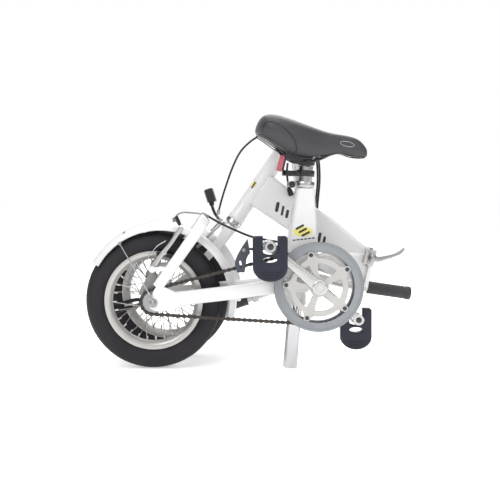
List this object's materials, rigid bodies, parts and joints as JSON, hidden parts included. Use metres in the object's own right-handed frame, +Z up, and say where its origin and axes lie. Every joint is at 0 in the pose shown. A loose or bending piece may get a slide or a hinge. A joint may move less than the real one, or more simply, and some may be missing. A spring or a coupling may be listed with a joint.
{
  "type": "folding bicycle",
  "caption": "Small-wheeled folding bicycle stored folded: hinged main frame, telescoping seat post, side-folding handlepost, folding pedals, fenders and rim brakes.",
  "frame": {"origin": "centre of the folded bicycle's footprint on the ground", "axes": "+X towards the front of the rear half, along the folded bicycle's length; +Y across it, from the drive side to the folded front half; +Z up"},
  "size_m": [0.8317, 0.3716, 0.6014],
  "materials": {
    "bare_alloy": "satin",
    "black_plastic": "satin",
    "cable_housing": "satin",
    "chain_steel": "satin",
    "chrome": "glossy",
    "dark_grey_plastic": "satin",
    "grip_rubber": "satin",
    "guard_ring_plastic": "satin",
    "pedal_plastic": "satin",
    "plated_steel": "satin",
    "polished_alloy": "satin",
    "reflector_lens": "glossy",
    "rim_alloy": "satin",
    "saddle_vinyl": "satin",
    "tyre_rubber": "satin",
    "white_paint": "glossy"
  },
  "bodies": {
    "crankset": {"bottom_bracket_axle": "plated_steel", "chainring": "plated_steel", "guard_ring": "guard_ring_plastic", "left_crank": "polished_alloy", "right_crank": "polished_alloy"},
    "rear_frame": {"bottom_bracket_shell": "white_paint", "brake_arch": "white_paint", "chain": "chain_steel", "chain_guide": "dark_grey_plastic", "hinge_pin": "plated_steel", "left_chainstay": "white_paint", "left_fender_stay": "bare_alloy", "main_stub": "white_paint", "rear_axle": "plated_steel", "rear_brake_cable": "cable_housing", "rear_fender": "white_paint", "right_chainstay": "white_paint", "right_fender_stay": "bare_alloy", "seat_clamp": "bare_alloy", "seat_tube": "white_paint"},
    "fork": {"fork": "white_paint", "front_axle": "plated_steel", "front_brake_cable": "cable_housing", "front_fender": "white_paint", "front_reflector": "black_plastic"},
    "front_half": {"frame_brake_cable": "cable_housing", "head_tube": "white_paint", "lower_headset_cup": "bare_alloy", "main_tube": "white_paint", "upper_headset_cup": "bare_alloy"},
    "frame_latch_lever": {"frame_latch_lever": "bare_alloy"},
    "freewheel": {"freewheel": "plated_steel"},
    "front_brake_arm_left": {"front_brake_arm_left": "bare_alloy"},
    "front_brake_arm_right": {"front_brake_arm_right": "bare_alloy"},
    "front_wheel": {"front_hub": "bare_alloy", "front_rim": "rim_alloy", "front_tyre": "tyre_rubber"},
    "handlepost": {"handlebar": "bare_alloy", "handlepost": "polished_alloy", "handlepost_cable": "cable_housing", "left_grip": "grip_rubber", "right_grip": "grip_rubber"},
    "kickstand": {"kickstand": "black_plastic"},
    "left_brake_lever": {"left_brake_lever": "bare_alloy"},
    "left_pedal": {"left_pedal": "pedal_plastic"},
    "left_pedal_spindle": {"left_pedal_spindle": "bare_alloy"},
    "rear_brake_arm_left": {"rear_brake_arm_left": "bare_alloy"},
    "rear_brake_arm_right": {"rear_brake_arm_right": "bare_alloy"},
    "rear_wheel": {"rear_hub": "bare_alloy", "rear_rim": "rim_alloy", "rear_tyre": "tyre_rubber"},
    "seat_post": {"rear_reflector": "reflector_lens", "reflector_bracket": "black_plastic", "saddle": "saddle_vinyl", "saddle_clamp": "black_plastic", "seat_post": "chrome"},
    "right_brake_lever": {"right_brake_lever": "bare_alloy"},
    "right_pedal": {"right_pedal": "pedal_plastic"},
    "right_pedal_spindle": {"right_pedal_spindle": "bare_alloy"},
    "seat_clamp_lever": {"seat_clamp_lever": "black_plastic"}
  },
  "joints": [
    {"name": "frame_hinge", "type": "hinge", "parent": "rear_frame", "child": "front_half", "pos_m": [0.26, -0.0348, 0.236], "axis": [-0.2419, 0, -0.9703], "range_deg": [0, 172]},
    {"name": "frame_latch", "type": "hinge", "parent": "rear_frame", "child": "frame_latch_lever", "pos_m": [0.25659, -0.1188, 0.26365], "axis": [-0.2419, 0, -0.9703], "range_deg": [0, 90]},
    {"name": "rear_wheel_spin", "type": "hinge", "parent": "rear_frame", "child": "rear_wheel", "pos_m": [-0.254, -0.0748, 0.161], "axis": [0, 1, 0], "continuous": true},
    {"name": "crank_turn", "type": "hinge", "parent": "rear_frame", "child": "crankset", "pos_m": [0.13, -0.0748, 0.198], "axis": [0, 1, 0], "range_deg": [-15, 60]},
    {"name": "freewheel_turn", "type": "hinge", "parent": "rear_frame", "child": "freewheel", "pos_m": [-0.254, -0.0748, 0.161], "axis": [0, 1, 0], "range_deg": [-50, 190]},
    {"name": "right_pedal_spin", "type": "hinge", "parent": "crankset", "child": "right_pedal_spindle", "pos_m": [0.01288, -0.1474, 0.29489], "axis": [0, 1, 0], "continuous": true},
    {"name": "left_pedal_spin", "type": "hinge", "parent": "crankset", "child": "left_pedal_spindle", "pos_m": [0.24712, -0.0022, 0.10111], "axis": [0, 1, 0], "continuous": true},
    {"name": "right_pedal_fold", "type": "hinge", "parent": "right_pedal_spindle", "child": "right_pedal", "pos_m": [0.01288, -0.1748, 0.29489], "axis": [-1, 0, 0], "range_deg": [0, 90]},
    {"name": "left_pedal_fold", "type": "hinge", "parent": "left_pedal_spindle", "child": "left_pedal", "pos_m": [0.24712, 0.0252, 0.10111], "axis": [1, 0, 0], "range_deg": [0, 90]},
    {"name": "seat_post_slide", "type": "slide", "parent": "rear_frame", "child": "seat_post", "axis": [0.0805, 0, 0.9968], "range_m": [0, 0.2]},
    {"name": "seat_clamp_open", "type": "hinge", "parent": "rear_frame", "child": "seat_clamp_lever", "pos_m": [0.0725, -0.0448, 0.435], "axis": [0, 0, 1], "range_deg": [0, 100]},
    {"name": "rear_brake_right", "type": "hinge", "parent": "rear_frame", "child": "rear_brake_arm_right", "pos_m": [-0.256, -0.1173, 0.238], "axis": [-0.7913, 0, 0.6114], "range_deg": [0, 2.4], "stiffness_Nm_per_rad": 2},
    {"name": "rear_brake_left", "type": "hinge", "parent": "rear_frame", "child": "rear_brake_arm_left", "pos_m": [-0.256, -0.0323, 0.238], "axis": [-0.7913, 0, 0.6114], "range_deg": [-2.4, 0]},
    {"name": "kickstand_swing", "type": "hinge", "parent": "rear_frame", "child": "kickstand", "pos_m": [-0.276, -0.0108, 0.15], "axis": [0, -1, 0], "range_deg": [0, 75]},
    {"name": "steering", "type": "hinge", "parent": "front_half", "child": "fork", "pos_m": [-0.05937, 0.05247, 0.33385], "axis": [0.5643, -0.0489, 0.8241], "range_deg": [-4, 10]},
    {"name": "front_wheel_spin", "type": "hinge", "parent": "fork", "child": "front_wheel", "pos_m": [-0.22424, 0.06908, 0.16097], "axis": [0.135, 0.9903, -0.0337], "continuous": true},
    {"name": "front_brake_left", "type": "hinge", "parent": "fork", "child": "front_brake_arm_left", "pos_m": [-0.08425, 0.05595, 0.3364], "axis": [-0.7046, 0.1199, 0.6994], "range_deg": [0, 1.2], "stiffness_Nm_per_rad": 2},
    {"name": "front_brake_right", "type": "hinge", "parent": "fork", "child": "front_brake_arm_right", "pos_m": [-0.08425, 0.05595, 0.3364], "axis": [-0.7046, 0.1199, 0.6994], "range_deg": [-1.2, 0]},
    {"name": "handlepost_hinge", "type": "hinge", "parent": "fork", "child": "handlepost", "pos_m": [0.09357, 0.05231, 0.53124], "axis": [0.6504, -0.7156, -0.2547], "range_deg": [0, 146.6]},
    {"name": "right_lever_squeeze", "type": "hinge", "parent": "handlepost", "child": "right_brake_lever", "pos_m": [-0.00554, 0.16943, 0.14768], "axis": [-0.0885, -0.1617, 0.9829], "range_deg": [0, 12], "stiffness_Nm_per_rad": 0.5},
    {"name": "left_lever_squeeze", "type": "hinge", "parent": "handlepost", "child": "left_brake_lever", "pos_m": [0.28517, 0.17425, 0.17464], "axis": [0.0885, 0.1617, -0.9829], "range_deg": [0, 12], "stiffness_Nm_per_rad": 0.5}
  ],
  "couplings": [
    {"joint": "freewheel_turn", "follows": "crank_turn", "ratio": 3.1429},
    {"joint": "rear_brake_left", "follows": "rear_brake_right", "ratio": -1},
    {"joint": "front_brake_right", "follows": "front_brake_left", "ratio": -1}
  ]
}
